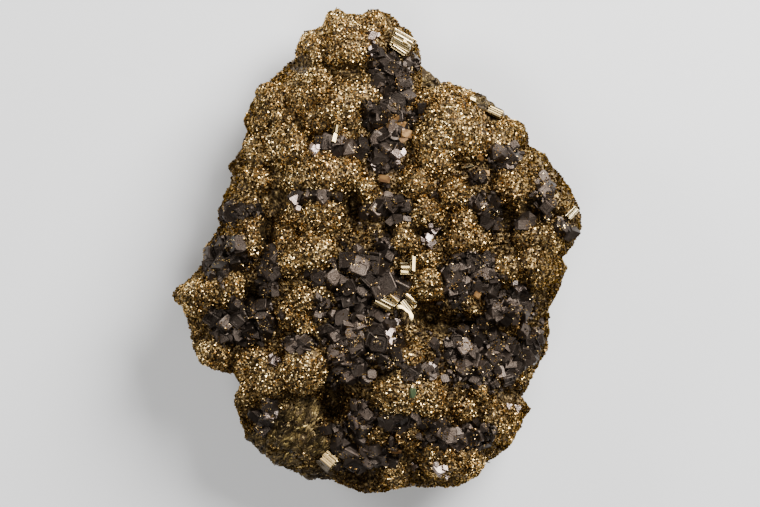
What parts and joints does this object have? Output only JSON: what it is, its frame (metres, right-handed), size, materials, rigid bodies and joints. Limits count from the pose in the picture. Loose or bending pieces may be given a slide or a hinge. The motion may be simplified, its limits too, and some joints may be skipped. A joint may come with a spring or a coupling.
{
  "type": "galena with pyrite specimen",
  "caption": "Mineral specimen: a slab covered with a druse of tiny pyrite crystals, with clusters of blocky galena in its hollows, lying on a flat cut back",
  "frame": {"origin": "the middle of the specimen's outline, on the flat back that it lies on", "axes": "+Z out of the crystal side, +Y to the narrow upper end, which is the long way, and +X to the right as seen from the crystal side"},
  "size_m": [0.102, 0.1213, 0.0401],
  "materials": {
    "druse": "satin",
    "striated_pyrite": "gloss",
    "galena": "satin"
  },
  "bodies": {
    "root": {"pyrite_matrix": "druse", "pyrite_crown": "striated_pyrite", "pyrite_flag": "striated_pyrite", "pyrite_bar": "striated_pyrite", "pyrite_fan": "striated_pyrite", "pyrite_chevron": "striated_pyrite", "pyrite_rod": "striated_pyrite", "pyrite_plate": "striated_pyrite", "pyrite_slat": "striated_pyrite", "galena_summit": "galena", "galena_channel": "galena", "galena_band": "galena", "galena_slope": "galena", "galena_shelf": "galena", "galena_ledge": "galena", "galena_nook": "galena", "galena_hollow": "galena", "galena_heart": "galena", "galena_saddle": "galena", "galena_belt": "galena", "galena_curl": "galena", "galena_thicket": "galena", "galena_steps": "galena", "galena_field": "galena", "galena_spur": "galena", "galena_terrace": "galena", "galena_lip": "galena", "galena_foot": "galena", "galena_blush": "galena", "galena_corner": "galena", "galena_shoulder": "galena", "galena_shade": "galena", "galena_rim": "galena"}
  },
  "joints": []
}
